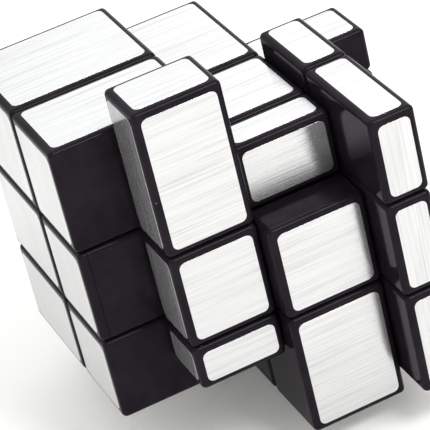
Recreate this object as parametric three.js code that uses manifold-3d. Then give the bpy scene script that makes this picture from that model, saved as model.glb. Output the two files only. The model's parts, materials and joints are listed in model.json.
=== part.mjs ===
// A 3 x 3 x 3 twisty puzzle whose layers have different thicknesses, shown part way through a scramble.
// Millimetres, +Z up. Origin: middle of the footprint, at the height of the lowest block.
import * as THREE from "three";
import { mergeVertices } from "three/addons/utils/BufferGeometryUtils.js";
import { RoundedBoxGeometry } from "three/addons/geometries/RoundedBoxGeometry.js";
import Module from "manifold-3d";

// Driving dimensions
const CUT = 9.5; // the planes that part the layers lie this far from the core's centre
const THICKNESS = { left: 29, right: 9, front: 17, back: 21, top: 13, bottom: 25 }; // beyond the cut
const QUARTER_TURNS = ["top", "left", "right"]; // faces turned clockwise, in order, from the solved cube
const FOOT_INNER = 6; // the feet under the blocks reach in to this distance from the centre
const FOOT_OUTER = 16; // and no further out than this
const FOOT_RADIUS = 17; // the feet turn inside this radius about each axis
const SLACK = 0.15; // taken off each side of a running joint
const FIT_GAP = 0.3; // between fixed pieces that meet
const BLOCK_ROUND = 0.8; // edge radius of the blocks
const WALL = 1.6; // shell thickness of the hollow blocks
const VENT = { radius: 1, sides: 8 }; // hole through the inner wall of a hollow block

// The column of each centre, its screw, washer and spring, and the core. Heights are from the core's centre.
const BASE = { floor: 9, top: 17, bore: 4.2, hole: 1.6 }; // the spring stands on the floor
const SCREW = { shank: 1.2, tip: 2.3, point: 1, head: 3.4, headHeight: 1.6, chamfer: 0.3 };
const SLOT = { length: 4, width: 0.8, depth: 0.8 }; // each arm of the cross in the screw's head
const WASHER = { radius: 3.6, hole: 1.5, height: 0.5 };
const SPRING = { radius: 2.9, wire: 0.35, turns: 4, height: 4.6, stepsPerTurn: 10, sides: 5 };
const CORE = { ball: 7.6, hole: 1.5, holeBottom: 2, meridians: 24, parallels: 16 };

// Caps that close the columns
const CAP_BOTTOM = BASE.top + FIT_GAP;
const SOLID_CAP = 5; // a cap shallower than this isn't hollow
const CAP_ROUND_SHARE = 1 / 3; // most of a thin cap's depth that its edge rounding may take

const ROUND_SIDES = 16; // facets round the small turned pieces
const FOOT_SIDES = 32; // facets round the cylinders that shape the feet
const FAR = 60; // beyond every surface
const WELD = 1e-4; // vertices closer than this are one

const AXES = ["x", "y", "z"];
const FACES = {
  left: new THREE.Vector3(-1, 0, 0),
  right: new THREE.Vector3(1, 0, 0),
  front: new THREE.Vector3(0, -1, 0),
  back: new THREE.Vector3(0, 1, 0),
  top: new THREE.Vector3(0, 0, 1),
  bottom: new THREE.Vector3(0, 0, -1),
};
const NAME_ORDER = ["front", "back", "left", "right", "top", "bottom"];

const wasm = await Module();
wasm.setup();

// Solids: a three.js geometry becomes a manifold for cutting and joining, and comes back as a geometry.

function solid(geometry) {
  const bare = geometry.clone();
  bare.deleteAttribute("normal");
  bare.deleteAttribute("uv");
  const merged = mergeVertices(bare, WELD);
  return new wasm.Manifold(
    new wasm.Mesh({
      numProp: 3,
      vertProperties: new Float32Array(merged.attributes.position.array),
      triVerts: new Uint32Array(merged.index.array),
    }),
  );
}

function geometryOf(manifold) {
  const made = manifold.getMesh();
  const geometry = new THREE.BufferGeometry();
  geometry.setAttribute("position", new THREE.BufferAttribute(made.vertProperties, 3));
  geometry.setIndex(new THREE.BufferAttribute(made.triVerts, 1));
  geometry.computeVertexNormals();
  return geometry;
}

// A box between two corners.
function box(low, high) {
  const size = high.clone().sub(low);
  const middle = high.clone().add(low).multiplyScalar(0.5);
  return solid(new THREE.BoxGeometry(size.x, size.y, size.z).translate(...middle));
}

function roundedBox(low, high, radius) {
  const size = high.clone().sub(low);
  const middle = high.clone().add(low).multiplyScalar(0.5);
  return solid(new RoundedBoxGeometry(size.x, size.y, size.z, 1, radius).translate(...middle));
}

// Turns a geometry built along +Z so that it points along a face's direction.
function facing(geometry, direction) {
  const turn = new THREE.Quaternion().setFromUnitVectors(FACES.top, direction);
  return geometry.applyQuaternion(turn);
}

// A cylinder round a face's axis, from one distance to another.
function cylinder(direction, radius, from, to, sides) {
  const geometry = new THREE.CylinderGeometry(radius, radius, to - from, sides);
  geometry.rotateX(Math.PI / 2);
  geometry.translate(0, 0, (from + to) / 2);
  return solid(facing(geometry, direction));
}

// A solid of revolution round a face's axis. The profile is a list of [radius, height].
function turned(direction, profile) {
  const points = profile.map(([radius, height]) => new THREE.Vector2(radius, height));
  const geometry = new THREE.LatheGeometry(points, ROUND_SIDES);
  geometry.rotateX(Math.PI / 2);
  return solid(facing(geometry, direction));
}

// The space beyond a plane across one face's axis, with the disc below it in which that layer's feet turn.
// A positive slack shrinks the disc, and a negative one grows it.
function layerSpace(direction, plane, slack) {
  const slab = new THREE.BoxGeometry(2 * FAR, 2 * FAR, FAR - plane);
  slab.translate(0, 0, (FAR + plane) / 2);
  const disc = cylinder(direction, FOOT_RADIUS - slack, FOOT_INNER + slack, FAR, FOOT_SIDES);
  return solid(facing(slab, direction)).add(disc);
}

const footSpace = {}; // where a face's own feet may be
const sweptSpace = {}; // what the pieces of the layers beside it keep clear of
for (const [face, direction] of Object.entries(FACES)) {
  footSpace[face] = layerSpace(direction, CUT + WALL, SLACK);
  sweptSpace[face] = layerSpace(direction, CUT - SLACK, -SLACK);
}

// The 26 outer pieces: each has a cell, with -1, 0 or 1 along each axis, and a thickness along each axis.

function solvedPieces() {
  const pieces = [];
  const steps = [-1, 0, 1];
  for (const x of steps) {
    for (const y of steps) {
      for (const z of steps) {
        const cell = new THREE.Vector3(x, y, z);
        if (cell.lengthSq() > 0) pieces.push({ cell, thickness: homeThickness(cell) });
      }
    }
  }
  return pieces;
}

function facesOf(cell) {
  return NAME_ORDER.filter((face) => cell.dot(FACES[face]) > 0);
}

function homeThickness(cell) {
  const thickness = new THREE.Vector3();
  for (const face of facesOf(cell)) thickness.addScaledVector(FACES[face], THICKNESS[face]);
  return absolute(thickness);
}

function absolute(vector) {
  return new THREE.Vector3(...vector.toArray().map((value) => Math.abs(Math.round(value))));
}

// Turns a face a quarter clockwise, as seen from outside.
function quarterTurn(pieces, face) {
  const turn = new THREE.Quaternion().setFromAxisAngle(FACES[face], -Math.PI / 2);
  for (const piece of pieces.filter(({ cell }) => cell.dot(FACES[face]) > 0)) {
    piece.cell.applyQuaternion(turn).round();
    piece.thickness = absolute(piece.thickness.applyQuaternion(turn));
  }
}

// The corners of a piece's block: from the cut planes out to its own thickness.
function blockBounds({ cell, thickness }, inner = CUT + SLACK) {
  const low = new THREE.Vector3();
  const high = new THREE.Vector3();
  for (const axis of AXES) {
    const outer = CUT + thickness[axis];
    const side = cell[axis];
    low[axis] = side === 0 ? SLACK - CUT : Math.min(side * inner, side * outer);
    high[axis] = side === 0 ? CUT - SLACK : Math.max(side * inner, side * outer);
  }
  return { low, high };
}

// The hollow inside a block, with a vent through its inner wall.
function hollow({ cell }, { low, high }) {
  const wall = new THREE.Vector3(WALL, WALL, WALL);
  const cavity = box(low.clone().add(wall), high.clone().sub(wall));
  const ventFace = facesOf(cell).at(-1);
  const inset = CUT + SLACK + WALL + VENT.radius;
  const across = cell.clone().addScaledVector(FACES[ventFace], -1).multiplyScalar(inset);
  const vent = cylinder(FACES[ventFace], VENT.radius, FOOT_INNER, inset, VENT.sides);
  return cavity.add(vent.translate(across.toArray()));
}

// A corner or edge: a rounded block, and a foot under its neighbours that the layers' discs hold.
function blockPiece(piece) {
  const bounds = blockBounds(piece);
  const reach = blockBounds(piece, FOOT_INNER);
  const held = facesOf(piece.cell);
  const crossed = NAME_ORDER.filter((face) => piece.cell.dot(FACES[face]) === 0);
  for (const axis of AXES) {
    if (piece.cell[axis] > 0) reach.high[axis] = FOOT_OUTER;
    if (piece.cell[axis] < 0) reach.low[axis] = -FOOT_OUTER;
  }
  let foot = box(reach.low, reach.high);
  for (const face of held) foot = foot.intersect(footSpace[face]);
  let body = roundedBox(bounds.low, bounds.high, BLOCK_ROUND).add(foot);
  for (const face of crossed) body = body.subtract(sweptSpace[face]);
  return body.subtract(hollow(piece, bounds));
}

// A centre's base: a square column, bored for the screw and spring.
function centreBase(direction) {
  const half = FOOT_INNER - SLACK;
  const height = BASE.top - FOOT_INNER - SLACK;
  const column = new THREE.BoxGeometry(2 * half, 2 * half, height);
  column.translate(0, 0, FOOT_INNER + SLACK + height / 2);
  return solid(facing(column, direction))
    .subtract(cylinder(direction, BASE.bore, BASE.floor, FAR, ROUND_SIDES))
    .subtract(cylinder(direction, BASE.hole, 0, FAR, ROUND_SIDES));
}

// A centre's cap: a rounded lid over the base, open underneath where it is thick enough to be hollow.
function centreCap(piece) {
  const { low, high } = blockBounds(piece, CAP_BOTTOM);
  const direction = piece.cell;
  const depth = CUT + piece.thickness.dot(absolute(direction)) - CAP_BOTTOM;
  const lid = roundedBox(low, high, Math.min(BLOCK_ROUND, depth * CAP_ROUND_SHARE));
  if (depth < SOLID_CAP) return lid;
  const half = CUT - SLACK - WALL;
  const room = new THREE.BoxGeometry(2 * half, 2 * half, depth);
  room.translate(0, 0, CAP_BOTTOM + depth / 2 - WALL);
  return lid.subtract(solid(facing(room, direction)));
}

// The core: a ball with six flats, each with a screw hole.
function core() {
  const half = new THREE.Vector3(1, 1, 1).multiplyScalar(FOOT_INNER - SLACK);
  let body = solid(new THREE.SphereGeometry(CORE.ball, CORE.meridians, CORE.parallels));
  body = body.intersect(box(half.clone().negate(), half));
  for (const direction of Object.values(FACES)) {
    body = body.subtract(cylinder(direction, CORE.hole, CORE.holeBottom, FAR, ROUND_SIDES));
  }
  return body;
}

const SPRING_BOTTOM = BASE.floor + FIT_GAP;
const WASHER_BOTTOM = SPRING_BOTTOM + SPRING.height + FIT_GAP;
const HEAD_BOTTOM = WASHER_BOTTOM + WASHER.height + FIT_GAP;

function screw(direction) {
  const top = HEAD_BOTTOM + SCREW.headHeight;
  const body = turned(direction, [
    [0, SCREW.tip],
    [SCREW.shank, SCREW.tip + SCREW.point],
    [SCREW.shank, HEAD_BOTTOM],
    [SCREW.head, HEAD_BOTTOM],
    [SCREW.head, top - SCREW.chamfer],
    [SCREW.head - SCREW.chamfer, top],
    [0, top],
  ]);
  const slot = new THREE.BoxGeometry(SLOT.length, SLOT.width, 2 * SLOT.depth);
  slot.translate(0, 0, top);
  const crossSlot = slot.clone().rotateZ(Math.PI / 2);
  return body
    .subtract(solid(facing(slot, direction)))
    .subtract(solid(facing(crossSlot, direction)));
}

function washer(direction) {
  const top = WASHER_BOTTOM + WASHER.height;
  return turned(direction, [
    [WASHER.hole, WASHER_BOTTOM],
    [WASHER.radius, WASHER_BOTTOM],
    [WASHER.radius, top],
    [WASHER.hole, top],
    [WASHER.hole, WASHER_BOTTOM],
  ]);
}

class Helix extends THREE.Curve {
  getPoint(t, target = new THREE.Vector3()) {
    const angle = 2 * Math.PI * SPRING.turns * t;
    const rise = (SPRING.height - 2 * SPRING.wire) * t;
    return target.set(
      SPRING.radius * Math.cos(angle),
      SPRING.radius * Math.sin(angle),
      SPRING_BOTTOM + SPRING.wire + rise,
    );
  }
}

function spring(direction) {
  const section = new THREE.Shape();
  for (let side = 0; side < SPRING.sides; side += 1) {
    const angle = (2 * Math.PI * side) / SPRING.sides;
    const x = SPRING.wire * Math.cos(angle);
    const y = SPRING.wire * Math.sin(angle);
    if (side === 0) section.moveTo(x, y);
    else section.lineTo(x, y);
  }
  const wire = new THREE.ExtrudeGeometry(section, {
    steps: SPRING.turns * SPRING.stepsPerTurn,
    extrudePath: new Helix(),
  });
  return solid(facing(wire, direction));
}

// Materials, one object for each mesh

const black = () =>
  new THREE.MeshStandardMaterial({ color: 0x1b191c, roughness: 0.3, metalness: 0 });
const steel = () =>
  new THREE.MeshStandardMaterial({ color: 0xb4b6b8, roughness: 0.35, metalness: 1 });
const white = () =>
  new THREE.MeshStandardMaterial({ color: 0xd8d8d4, roughness: 0.5, metalness: 0 });

// The assembly, built round the core's centre and then stood on its lowest block

const assembly = new THREE.Group();

function addPiece(name, manifold, material) {
  const mesh = new THREE.Mesh(geometryOf(manifold), material);
  mesh.name = name;
  assembly.add(mesh);
}

const pieces = solvedPieces();
for (const face of QUARTER_TURNS) quarterTurn(pieces, face);

addPiece("core", core(), white());
for (const [face, direction] of Object.entries(FACES)) {
  addPiece(`screw_${face}`, screw(direction), steel());
  addPiece(`spring_${face}`, spring(direction), steel());
  addPiece(`washer_${face}`, washer(direction), steel());
  addPiece(`centre_base_${face}`, centreBase(direction), black());
}
const KINDS = { 1: "centre_cap", 2: "edge", 3: "corner" };
for (const piece of pieces) {
  const faces = facesOf(piece.cell);
  const name = [KINDS[faces.length], ...faces].join("_");
  const body = faces.length === 1 ? centreCap(piece) : blockPiece(piece);
  addPiece(name, body, black());
}

const extent = new THREE.Box3().setFromObject(assembly);
const footprint = extent.getCenter(new THREE.Vector3());
assembly.position.set(-footprint.x, -footprint.y, -extent.min.z);

const part = new THREE.Group();
part.add(assembly);

export default part;
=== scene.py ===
"""Looks of a twisty puzzle whose layers differ in thickness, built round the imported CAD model.

Metres, in the frame's own axes. Shapes are worked out in millimetres from the core's centre.
"""

import json
import math
import random

import bmesh
import bpy
from mathutils import Matrix, Quaternion, Vector

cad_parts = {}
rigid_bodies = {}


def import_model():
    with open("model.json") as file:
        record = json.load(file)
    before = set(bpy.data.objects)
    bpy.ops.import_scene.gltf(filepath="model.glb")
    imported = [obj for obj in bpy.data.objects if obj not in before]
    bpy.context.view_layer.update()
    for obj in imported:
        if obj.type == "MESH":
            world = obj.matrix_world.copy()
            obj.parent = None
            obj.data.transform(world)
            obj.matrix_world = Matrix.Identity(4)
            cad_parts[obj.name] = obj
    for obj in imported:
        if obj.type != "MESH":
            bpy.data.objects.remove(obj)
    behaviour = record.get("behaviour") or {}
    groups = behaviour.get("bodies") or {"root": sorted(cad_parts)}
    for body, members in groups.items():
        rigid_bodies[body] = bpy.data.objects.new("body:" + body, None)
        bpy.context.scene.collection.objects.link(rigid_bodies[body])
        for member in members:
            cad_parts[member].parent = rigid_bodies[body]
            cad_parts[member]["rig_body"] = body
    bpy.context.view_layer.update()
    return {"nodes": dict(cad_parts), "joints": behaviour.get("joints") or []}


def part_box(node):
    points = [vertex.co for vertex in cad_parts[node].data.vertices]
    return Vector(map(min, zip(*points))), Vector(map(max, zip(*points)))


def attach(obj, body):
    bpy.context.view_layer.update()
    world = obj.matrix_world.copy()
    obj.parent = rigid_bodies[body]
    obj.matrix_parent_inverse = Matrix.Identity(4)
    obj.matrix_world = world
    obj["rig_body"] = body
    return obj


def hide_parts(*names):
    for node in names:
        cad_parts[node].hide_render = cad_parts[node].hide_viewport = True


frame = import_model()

MM = 0.001
CORE = Vector(frame["joints"][0]["pos_m"])  # every face's axis goes through the core's centre

# Millimetres, as in the CAD model
CUT = 9.5  # the planes that part the layers lie this far from the core's centre
SLACK = 0.15  # off each side of a running joint
FOOT_INNER = 6.0  # the feet reach from here
FOOT_OUTER = 16.0  # to here
FOOT_RADIUS = 17.0  # and turn inside this radius about each axis
WALL = 1.6
DISC_TOP = CUT + WALL  # a layer's disc shapes its feet below this height
CAP_BOTTOM = 17.3

# Millimetres, only in the looks
ROUND = 1.0  # edges of the blocks
LID = 1.75  # lid of a centre, with its foil
SEAM = 0.02  # between the lid and the cap under it
SEAM_ROUND = 0.12
MIN_CAP = 1.0  # a cap no deeper than this is left out, and its lid fills the place
THIN_LID_TOP_ROUND = 0.7
THIN_LID_BOTTOM_ROUND = 0.3
FOIL = 0.07  # thickness
FOIL_ROUND = 0.03  # of its upper edge
FOIL_CORNER = 1.15
FOIL_INSET_CUT = 1.45  # from the cut plane to the foil
FOIL_INSET_OUTER = 1.41  # from a block's outer edge to the foil
BRUSH_SHIFT = 400.0  # the furthest that a foil's brush marks are moved, at random
FAR = 20.0  # beyond every foot
OVERSHOOT = 1.0  # by which one tool stands out of another
WELD = 0.001  # points closer than this are one

ARC_STEPS = 5  # in a quarter of a rounding
CYLINDER_SIDES = 96
LEAST_CORNER = 0.12  # share of an upright edge's radius that is left at the block's two ends
ON_ROUNDING = 0.9  # cosine to the rounded block's normal that a face of it keeps to
SHARP_ANGLE = 30  # degrees
SEED = 7

# Camera: AIM is in mm from the core's centre, lengths in mm, and angles in degrees
AIM = Vector((-8.84, 2.04, -1.14))
DISTANCE = 464.98
HEADING = 17.34
ELEVATION = 31.3
ROLL = 14.27
LENS = 213.95
SENSOR = 36.0

# Lamp and floor
KEY_PLACE = Vector((270, -500, 785))  # mm from the core's centre
KEY_SIZE = 0.32  # metres
KEY_POWER = 4.2  # watts
FLOOR_REACH = 3.0  # metres from the middle to each edge

# Sockets of a Mix node that carry colour
MIX_A, MIX_B, MIX_RESULT = 6, 7, 2

X, Y, Z = range(3)
FACES = {
    "left": (X, -1),
    "right": (X, 1),
    "front": (Y, -1),
    "back": (Y, 1),
    "top": (Z, 1),
    "bottom": (Z, -1),
}
QUARTER_TURNS = ("top", "left", "right")  # clockwise, in order, from the solved puzzle
SOLVED_BRUSH = {X: Y, Y: X, Z: Y}  # by a foil's own axis, the axis its brush marks lie along


def axis_vector(axis, sign=1):
    made = Vector((0, 0, 0))
    made[axis] = sign
    return made


def all_axes(value):
    return Vector((value,) * 3)


def body_of(node_name):
    return frame["nodes"][node_name]["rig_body"]


def core_box(node_name):
    """A CAD node's lowest and highest corners, in mm from the core's centre."""
    return [(corner - CORE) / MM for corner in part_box(node_name)]


def add_object(name, data):
    made = bpy.data.objects.new(name, data)
    bpy.context.scene.collection.objects.link(made)
    return made


# ---------------------------------------------------------------- meshes


def outline(half_a, half_b, radius):
    """A rounded rectangle: points and outward directions, counter-clockwise."""
    points, outward = [], []
    for quarter in range(4):
        sign_a = 1 if quarter in (0, 3) else -1
        sign_b = 1 if quarter < 2 else -1
        for step in range(ARC_STEPS + 1):
            angle = math.radians(90 * (quarter + step / ARC_STEPS))
            out_a, out_b = math.cos(angle), math.sin(angle)
            points.append(
                (
                    sign_a * (half_a - radius) + radius * out_a,
                    sign_b * (half_b - radius) + radius * out_b,
                )
            )
            outward.append((out_a, out_b))
    return points, outward


def slab(name, low, high, axis, sign, corner, top, bottom):
    """A rounded block between two corners, built as rings up the axis, with exact normals.

    corner, top and bottom are the radii of its upright edges and of those round its two ends.
    """
    up = axis_vector(axis, sign)
    side_a = axis_vector((axis + 1) % 3)
    side_b = up.cross(side_a)
    middle = (low + high) / 2
    size = high - low
    half_a = abs(size.dot(side_a)) / 2
    half_b = abs(size.dot(side_b)) / 2
    height = abs(size.dot(up))
    rings = []  # rise, inset, tilt of the normal
    for step in range(ARC_STEPS + 1) if bottom else [ARC_STEPS]:
        tilt = math.radians(90 * (1 - step / ARC_STEPS))
        rings.append((bottom * (1 - math.sin(tilt)), bottom * (1 - math.cos(tilt)), -tilt))
    for step in range(ARC_STEPS + 1):
        tilt = math.radians(90 * step / ARC_STEPS)
        rings.append((height - top * (1 - math.sin(tilt)), top * (1 - math.cos(tilt)), tilt))
    verts, normals = [], []
    for rise, inset, tilt in rings:
        radius = max(corner - inset, corner * LEAST_CORNER)
        points, outward = outline(half_a - inset, half_b - inset, radius)
        for (a, b), (out_a, out_b) in zip(points, outward):
            flat = side_a * out_a + side_b * out_b
            verts.append(middle + side_a * a + side_b * b + up * (rise - height / 2))
            normals.append(flat * math.cos(tilt) + up * math.sin(tilt))
    count = 4 * (ARC_STEPS + 1)
    faces = [tuple(reversed(range(count)))]
    for ring in range(len(rings) - 1):
        start = ring * count
        above = start + count
        for index in range(count):
            following = (index + 1) % count
            faces.append((start + index, start + following, above + following, above + index))
    faces.append(tuple(range(len(verts) - count, len(verts))))
    mesh = bpy.data.meshes.new(name)
    mesh.from_pydata([CORE + vert * MM for vert in verts], [], faces)
    mesh.polygons.foreach_set("use_smooth", [True] * len(faces))
    mesh.update()
    mesh.normals_split_custom_set_from_vertices(normals)
    return mesh


def cylinder(bm, axis, radius, start, end):
    """Adds a closed cylinder round an axis to a bmesh, in mm."""
    side_a = axis_vector((axis + 1) % 3)
    side_b = axis_vector(axis).cross(side_a)
    rings = []
    for rise in (start, end):
        ring = []
        for index in range(CYLINDER_SIDES):
            angle = 2 * math.pi * (index + 0.5) / CYLINDER_SIDES
            point = side_a * math.cos(angle) + side_b * math.sin(angle)
            ring.append(bm.verts.new(point * radius + axis_vector(axis) * rise))
        rings.append(ring)
    low, high = rings
    bm.faces.new(list(reversed(low)))
    bm.faces.new(high)
    for index in range(CYLINDER_SIDES):
        following = (index + 1) % CYLINDER_SIDES
        bm.faces.new((low[index], low[following], high[following], high[index]))


def cuboid(bm, low, high):
    """Adds a box between two corners to a bmesh, in mm."""
    for vert in bmesh.ops.create_cube(bm, size=1)["verts"]:
        vert.co = Vector([low[i] if vert.co[i] < 0 else high[i] for i in range(3)])


def tool(*builders):
    """An object to cut with or to be cut, in mm, from builders and what each is given."""
    bm = bmesh.new()
    for builder, *values in builders:
        builder(bm, *values)
    bmesh.ops.recalc_face_normals(bm, faces=bm.faces)
    mesh = bpy.data.meshes.new("tool")
    bm.to_mesh(mesh)
    bm.free()
    return add_object("tool", mesh)


def carve(piece, *tools):
    """Cuts the tools from a piece, and removes them."""
    for other in tools:
        modifier = piece.modifiers.new("cut", "BOOLEAN")
        modifier.operation = "DIFFERENCE"
        modifier.solver = "EXACT"
        modifier.object = other
    bpy.context.view_layer.update()
    evaluated = piece.evaluated_get(bpy.context.evaluated_depsgraph_get())
    mesh = bpy.data.meshes.new_from_object(evaluated)
    piece.modifiers.clear()
    piece.data = mesh
    for other in tools:
        bpy.data.objects.remove(other)


# ---------------------------------------------------------------- where the brush marks lie


def brush_axes():
    """The axis of each foil's brush marks, by the foil's cell and direction.

    The foils are carried from the solved puzzle by the same turns as their blocks.
    """
    foils = []
    for cell in [(x, y, z) for x in (-1, 0, 1) for y in (-1, 0, 1) for z in (-1, 0, 1)]:
        for axis in range(3):
            if cell[axis]:
                brush = axis_vector(SOLVED_BRUSH[axis])
                foils.append([Vector(cell), axis_vector(axis, cell[axis]), brush])
    for face in QUARTER_TURNS:
        axis, sign = FACES[face]
        turn = Matrix.Rotation(-math.pi / 2, 3, axis_vector(axis, sign))
        for moved in foils:
            if moved[0][axis] == sign:
                moved[:] = [Vector([round(v) for v in turn @ item]) for item in moved]
    return {
        (tuple(cell), tuple(out)): max(range(3), key=lambda i: abs(brush[i]))
        for cell, out, brush in foils
    }


BRUSH = brush_axes()

# ---------------------------------------------------------------- materials


def new_material(name):
    material = bpy.data.materials.new(name)
    material.use_nodes = True
    tree = material.node_tree
    return material, tree, tree.nodes["Principled BSDF"]


def node(tree, kind, **settings):
    """A new node. A setting that starts with in_ is for the input socket of that name."""
    made = tree.nodes.new(kind)
    for key, value in settings.items():
        if key.startswith("in_"):
            made.inputs[key[3:].replace("_", " ")].default_value = value
        else:
            setattr(made, key, value)
    return made


def connect(tree, shader, sources):
    for socket, source in sources.items():
        tree.links.new(source, shader.inputs[socket])


def object_place(tree):
    return node(tree, "ShaderNodeTexCoord").outputs["Object"]


def scaled(tree, source, scale):
    mapping = node(tree, "ShaderNodeMapping", in_Scale=scale)
    tree.links.new(source, mapping.inputs["Vector"])
    return mapping.outputs["Vector"]


def noise(tree, vector, scale, detail=2.0, roughness=0.5):
    made = node(
        tree, "ShaderNodeTexNoise", in_Scale=scale, in_Detail=detail, in_Roughness=roughness
    )
    tree.links.new(vector, made.inputs["Vector"])
    return made.outputs["Fac"]


def ranged(tree, source, taken, given):
    """Maps one range of values on to another, and clamps what is beyond it."""
    made = node(
        tree,
        "ShaderNodeMapRange",
        in_From_Min=taken[0],
        in_From_Max=taken[1],
        in_To_Min=given[0],
        in_To_Max=given[1],
    )
    tree.links.new(source, made.inputs["Value"])
    return made.outputs["Result"]


def math_node(tree, operation, first, second):
    made = node(tree, "ShaderNodeMath", operation=operation)
    for socket, value in zip(made.inputs, (first, second)):
        if isinstance(value, float):
            socket.default_value = value
        else:
            tree.links.new(value, socket)
    return made.outputs["Value"]


def weighted_sum(tree, *terms):
    total = None
    for source, weight in reversed(terms):
        term = math_node(tree, "MULTIPLY", source, weight)
        total = term if total is None else math_node(tree, "ADD", term, total)
    return total


def ramp(tree, source, *stops):
    made = node(tree, "ShaderNodeValToRGB")
    elements = made.color_ramp.elements
    while len(elements) < len(stops):
        elements.new(0.5)
    for element, (place, colour) in zip(elements, stops):
        element.position = place
        element.color = (*colour, 1)
    tree.links.new(source, made.inputs["Fac"])
    return made.outputs["Color"]


def bump(tree, height, strength, distance):
    made = node(tree, "ShaderNodeBump", in_Strength=strength, in_Distance=distance)
    tree.links.new(height, made.inputs["Height"])
    return made.outputs["Normal"]


def foil_material():
    """Brushed silver foil: streaks of several widths and lengths along v of the brush map."""
    material, tree, shader = new_material("silver_foil")
    uv = node(tree, "ShaderNodeUVMap", uv_map="brush").outputs["UV"]

    def streak(across, along, **settings):
        """Noise with so many features to the mm across and along the marks."""
        return noise(tree, scaled(tree, uv, (across, along, 1)), scale=1.0, **settings)

    hair = streak(6.0, 0.11, roughness=0.6)
    fine = streak(3.0, 0.04, roughness=0.65)
    medium = streak(1.1, 0.03)
    broad = streak(0.2, 0.02, detail=1.0)
    streaks = weighted_sum(tree, (hair, 0.22), (fine, 0.55), (medium, 0.23))
    colour = ramp(
        tree,
        math_node(tree, "ADD", streaks, weighted_sum(tree, (broad, 0.12))),
        (0.43, (0.545, 0.545, 0.549)),
        (0.55, (0.65, 0.65, 0.651)),
        (0.66, (0.69, 0.69, 0.69)),
    )
    tangent = node(tree, "ShaderNodeTangent", direction_type="UV_MAP", uv_map="brush")
    connect(
        tree,
        shader,
        {
            "Base Color": colour,
            "Roughness": ranged(tree, fine, (0.35, 0.65), (0.21, 0.15)),
            "Normal": bump(tree, streaks, strength=1.0, distance=0.00004),
            "Tangent": tangent.outputs["Tangent"],
        },
    )
    shader.inputs["Metallic"].default_value = 0.88
    shader.inputs["Anisotropic"].default_value = 1.0
    return material


def black_material():
    """Glossy black moulded plastic, with faint smudges, uneven gloss and a little dust."""
    material, tree, shader = new_material("black_plastic")
    place = object_place(tree)
    smudge = noise(tree, place, scale=110.0, detail=4.0, roughness=0.7)
    peel = noise(tree, place, scale=900.0)
    dust = node(tree, "ShaderNodeTexVoronoi", in_Scale=260.0)
    tree.links.new(place, dust.inputs["Vector"])
    speck = ranged(tree, dust.outputs["Distance"], (0.03, 0.05), (1.0, 0.0))
    patch = noise(tree, place, scale=120.0, detail=0.0)
    rare = ranged(tree, patch, (0.62, 0.68), (0.0, 1.0))
    base = ramp(
        tree,
        smudge,
        (0.3, (0.0090, 0.0064, 0.0099)),
        (0.7, (0.0186, 0.0147, 0.0195)),
    )
    mix = node(tree, "ShaderNodeMix", data_type="RGBA")
    tree.links.new(math_node(tree, "MULTIPLY", speck, rare), mix.inputs["Factor"])
    tree.links.new(base, mix.inputs[MIX_A])
    mix.inputs[MIX_B].default_value = (0.12, 0.12, 0.12, 1)
    connect(
        tree,
        shader,
        {
            "Base Color": mix.outputs[MIX_RESULT],
            "Roughness": ranged(tree, smudge, (0.3, 0.7), (0.09, 0.16)),
            "Normal": bump(tree, peel, strength=0.25, distance=0.00001),
        },
    )
    shader.inputs["Specular IOR Level"].default_value = 0.045
    return material


def white_material():
    """The core's moulded nylon."""
    material, tree, shader = new_material("core_plastic")
    place = object_place(tree)
    cloud = noise(tree, place, scale=160.0, detail=4.0, roughness=0.6)
    grain = noise(tree, place, scale=2600.0)
    connect(
        tree,
        shader,
        {
            "Base Color": ramp(
                tree, cloud, (0.3, (0.60, 0.60, 0.57)), (0.7, (0.74, 0.74, 0.71))
            ),
            "Roughness": ranged(tree, cloud, (0.3, 0.7), (0.42, 0.55)),
            "Normal": bump(tree, grain, strength=0.2, distance=0.00002),
        },
    )
    return material


def steel_material():
    """Turned and drawn steel, with fine scratches."""
    material, tree, shader = new_material("steel")
    place = object_place(tree)
    turned = noise(tree, place, scale=3000.0, detail=3.0, roughness=0.6)
    stain = noise(tree, place, scale=300.0, detail=3.0)
    connect(
        tree,
        shader,
        {
            "Base Color": ramp(
                tree, stain, (0.3, (0.47, 0.48, 0.50)), (0.7, (0.66, 0.67, 0.68))
            ),
            "Roughness": ranged(tree, stain, (0.3, 0.7), (0.42, 0.26)),
            "Normal": bump(tree, turned, strength=0.2, distance=0.00001),
        },
    )
    shader.inputs["Metallic"].default_value = 1.0
    return material


def floor_material():
    """A pale matt table."""
    material, tree, shader = new_material("floor")
    cloud = noise(tree, object_place(tree), scale=3.0)
    colour = ramp(tree, cloud, (0.3, (0.945, 0.938, 0.918)), (0.7, (0.965, 0.958, 0.938)))
    connect(tree, shader, {"Base Color": colour})
    shader.inputs["Roughness"].default_value = 0.9
    shader.inputs["Specular IOR Level"].default_value = 0.09
    return material


SILVER = foil_material()
BLACK = black_material()
WHITE = white_material()
STEEL = steel_material()

# ---------------------------------------------------------------- foils

luck = random.Random(SEED)


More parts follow.
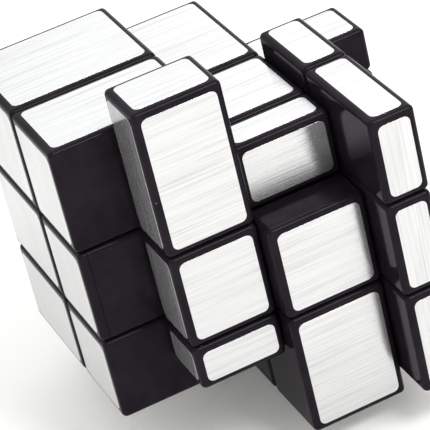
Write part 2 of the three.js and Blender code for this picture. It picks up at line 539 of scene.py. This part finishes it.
def add_foil(node_name, faces, low, high, face):
    """The foil on one outer face of a block that has these outer faces and these corners."""
    axis, sign = FACES[face]
    corners = [low.copy(), high.copy()]
    signs = dict(FACES[other] for other in faces)
    for side in range(3):
        if side == axis:
            continue
        if side in signs:
            outer = corners[1][side] if signs[side] > 0 else -corners[0][side]
            edges = CUT + FOIL_INSET_CUT, outer - FOIL_INSET_OUTER
            span = sorted(signs[side] * edge for edge in edges)
        else:
            span = FOIL_INSET_CUT - CUT, CUT - FOIL_INSET_CUT
        corners[0][side], corners[1][side] = span
    top = high[axis] if sign > 0 else -low[axis]
    corners[0][axis], corners[1][axis] = sorted((sign * (top - FOIL), sign * top))
    name = f"foil_{node_name}_{face}"
    mesh = slab(name, *corners, axis, sign, FOIL_CORNER, FOIL_ROUND, 0.0)
    cell = tuple(float(signs.get(side, 0)) for side in range(3))
    along = BRUSH[cell, tuple(axis_vector(axis, sign))]
    across = X + Y + Z - axis - along  # the third axis
    shift_across, shift_along = luck.uniform(0, BRUSH_SHIFT), luck.uniform(0, BRUSH_SHIFT)
    layer = mesh.uv_layers.new(name="brush")
    for loop in mesh.loops:
        place = (mesh.vertices[loop.vertex_index].co - CORE) / MM
        layer.data[loop.index].uv = (place[across] + shift_across, place[along] + shift_along)
    mesh.materials.append(SILVER)
    piece = add_object(name, mesh)
    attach(piece, body_of(node_name))


# ---------------------------------------------------------------- feet


def disc_tool(axis):
    """What a layer's disc takes from its feet: all that is below its top and outside it."""
    low, high = all_axes(-FAR), all_axes(FAR)
    low[axis], high[axis] = 0, DISC_TOP
    disc_end = FAR + OVERSHOOT
    outside = tool((cuboid, low, high))
    carve(outside, tool((cylinder, axis, FOOT_RADIUS - SLACK, -disc_end, disc_end)))
    return outside


def swept_tool(axis):
    """The two discs about an axis in which the feet of the layers on each side turn."""
    radius = FOOT_RADIUS + SLACK
    near = FOOT_INNER - SLACK
    return tool((cylinder, axis, radius, near, FAR), (cylinder, axis, radius, -FAR, -near))


def foot_mesh(foot, *tools):
    """Cuts a foot to shape, and welds the points that this leaves a hair apart."""
    carve(foot, *tools)
    mesh = foot.data
    bpy.data.objects.remove(foot)
    bm = bmesh.new()
    bm.from_mesh(mesh)
    bmesh.ops.remove_doubles(bm, verts=bm.verts, dist=WELD)
    bm.to_mesh(mesh)
    bm.free()
    return mesh


def corner_foot():
    """Under a corner block in the +x +y +z corner."""
    foot = tool((cuboid, all_axes(FOOT_INNER + SLACK), all_axes(FOOT_OUTER)))
    discs = [disc_tool(axis) for axis in range(3)]
    return foot_mesh(foot, *discs, tool((cuboid, all_axes(CUT + SLACK), all_axes(FAR))))


def edge_foot():
    """Under an edge block that lies along x, in the +y +z corner."""
    inner = FOOT_INNER + SLACK
    half = CUT - SLACK
    block_low = CUT + SLACK
    return foot_mesh(
        tool((cuboid, Vector((-half, inner, inner)), Vector((half, FOOT_OUTER, FOOT_OUTER)))),
        disc_tool(Y),
        disc_tool(Z),
        swept_tool(X),
        tool((cuboid, Vector((-FAR, block_low, block_low)), all_axes(FAR))),
    )


CORNER_FOOT = corner_foot()
EDGE_FOOT = edge_foot()


def placed_foot(name, source, signs, along):
    """A foot's mesh, turned so that its x lies along an axis, and mirrored into its place."""
    mesh = source.copy()
    mesh.name = name
    order = [along, (along + 1) % 3, (along + 2) % 3]
    mirror = Matrix.Diagonal([sign or 1 for sign in signs])
    matrix = mirror @ Matrix([axis_vector(order.index(row)) for row in range(3)])
    mesh.transform(Matrix.Translation(CORE) @ (matrix * MM).to_4x4())
    if matrix.determinant() < 0:
        mesh.flip_normals()
    mesh.polygons.foreach_set("use_smooth", [True] * len(mesh.polygons))
    mesh.set_sharp_from_angle(angle=math.radians(SHARP_ANGLE))
    return mesh


# ---------------------------------------------------------------- blocks


def add_black(mesh, node_name):
    mesh.materials.append(BLACK)
    piece = add_object(mesh.name, mesh)
    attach(piece, body_of(node_name))
    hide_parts(node_name)


def clear_of_feet(mesh, low, high, along):
    """An edge's rounded block, cut clear of the feet that turn past it, with exact normals.

    The rounded faces get the block's own normals back, and the cut faces stay flat.
    """
    name = mesh.name
    piece = add_object(name, mesh)
    cut = swept_tool(along)
    cut.data.transform(Matrix.Translation(CORE) @ Matrix.Scale(MM, 4))
    carve(piece, cut)
    made = piece.data
    bpy.data.objects.remove(piece)
    bpy.data.meshes.remove(mesh)
    made.name = name
    inner_low = low + all_axes(ROUND)
    inner_high = high - all_axes(ROUND)
    normals = []
    for face in made.polygons:
        for index in face.loop_indices:
            place = (made.vertices[made.loops[index].vertex_index].co - CORE) / MM
            near = Vector([min(max(place[i], inner_low[i]), inner_high[i]) for i in range(3)])
            out = (place - near).normalized()
            normals.append(out if out.dot(face.normal) > ON_ROUNDING else face.normal)
    made.normals_split_custom_set(normals)
    return made


def add_block(node_name, faces):
    """A corner or edge: its rounded block, its foot and its foils."""
    low, high = core_box(node_name)
    signs = [0, 0, 0]
    shell_low, shell_high = low.copy(), high.copy()
    for face in faces:
        axis, sign = FACES[face]
        signs[axis] = sign
        if sign > 0:
            shell_low[axis] = CUT + SLACK
            shell_high[axis] -= FOIL
        else:
            shell_high[axis] = -CUT - SLACK
            shell_low[axis] += FOIL
    axis, sign = FACES[faces[0]]
    mesh = slab(f"block_{node_name}", shell_low, shell_high, axis, sign, ROUND, ROUND, ROUND)
    is_edge = len(faces) == 2
    along = signs.index(0) if is_edge else X
    if is_edge:
        mesh = clear_of_feet(mesh, shell_low, shell_high, along)
    add_black(mesh, node_name)
    foot = EDGE_FOOT if is_edge else CORNER_FOOT
    add_black(placed_foot(f"foot_{node_name}", foot, signs, along), node_name)
    for face in faces:
        add_foil(node_name, faces, low, high, face)


def add_centre(node_name, face):
    """A centre's cap: the closed box, and the lid on it with the foil."""
    low, high = core_box(node_name)
    axis, sign = FACES[face]
    top = high[axis] if sign > 0 else -low[axis]

    def part(name, start, end, round_top, round_bottom):
        corners = [low.copy(), high.copy()]
        corners[0][axis], corners[1][axis] = sorted((sign * start, sign * end))
        add_black(slab(name, *corners, axis, sign, ROUND, round_top, round_bottom), node_name)

    lid_bottom = top - LID
    if lid_bottom - CAP_BOTTOM > MIN_CAP:
        part(f"lid_{face}", lid_bottom, top - FOIL, ROUND, SEAM_ROUND)
        part(f"cap_{face}", CAP_BOTTOM, lid_bottom - SEAM, SEAM_ROUND, ROUND)
    else:
        part(
            f"lid_{face}", CAP_BOTTOM, top - FOIL, THIN_LID_TOP_ROUND, THIN_LID_BOTTOM_ROUND
        )
    add_foil(node_name, [face], low, high, face)


CAD_LOOKS = {"core": WHITE, "centre": BLACK, "screw": STEEL, "spring": STEEL, "washer": STEEL}
for node_name in sorted(frame["nodes"]):
    kind, _, rest = node_name.partition("_")
    if kind in ("corner", "edge"):
        add_block(node_name, rest.split("_"))
    elif node_name.startswith("centre_cap"):
        add_centre(node_name, node_name.rpartition("_")[2])
    else:
        materials = frame["nodes"][node_name].data.materials
        materials.clear()
        materials.append(CAD_LOOKS[kind])

# ---------------------------------------------------------------- floor, light and camera

floor_mesh = bpy.data.meshes.new("floor")
floor_mesh.from_pydata(
    [(FLOOR_REACH * a, FLOOR_REACH * b, 0) for a, b in ((-1, -1), (1, -1), (1, 1), (-1, 1))],
    [],
    [(0, 1, 2, 3)],
)
floor_mesh.materials.append(floor_material())
add_object("floor", floor_mesh)

# A plain sky, brightest above the horizon, behind the object and on its right.
world = bpy.data.worlds.new("studio")
bpy.context.scene.world = world
world.use_nodes = True
sky = world.node_tree
direction = node(sky, "ShaderNodeSeparateXYZ")
sky.links.new(node(sky, "ShaderNodeTexCoord").outputs["Generated"], direction.inputs["Vector"])
sky_colour = ramp(
    sky,
    direction.outputs["Z"],
    (0.0, (0.82, 0.815, 0.805)),
    (0.43, (0.86, 0.857, 0.85)),
    (0.50, (0.975, 0.988, 1.0)),
)
behind = ranged(sky, direction.outputs["Y"], (-0.3, 0.75), (1.10, 1.68))
aside = ranged(sky, direction.outputs["X"], (0.16, 0.29), (0.87, 1.0))
sky_strength = math_node(sky, "MULTIPLY", behind, aside)
connect(sky, sky.nodes["Background"], {"Color": sky_colour, "Strength": sky_strength})

key = bpy.data.lights.new("key", "AREA")
key.size = KEY_SIZE
key.energy = KEY_POWER
key_holder = add_object("key", key)
key_holder.location = CORE + KEY_PLACE * MM
key_holder.rotation_euler = KEY_PLACE.to_track_quat("Z", "Y").to_euler()

heading, elevation, roll = (math.radians(angle) for angle in (HEADING, ELEVATION, ROLL))
forward = Vector(
    (
        math.cos(elevation) * math.sin(heading),
        math.cos(elevation) * math.cos(heading),
        -math.sin(elevation),
    )
)
camera_data = bpy.data.cameras.new("camera")
camera_data.lens = LENS
camera_data.sensor_width = SENSOR
camera_data.clip_start = 0.01
camera_data.clip_end = 20.0
camera = add_object("camera", camera_data)
camera.rotation_mode = "QUATERNION"
level = forward.to_track_quat("-Z", "Y")
camera.rotation_quaternion = level @ Quaternion((0, 0, 1), -roll)
camera.location = CORE + (AIM - forward * DISTANCE) * MM
bpy.context.scene.camera = camera
bpy.context.scene.view_settings.view_transform = "Standard"
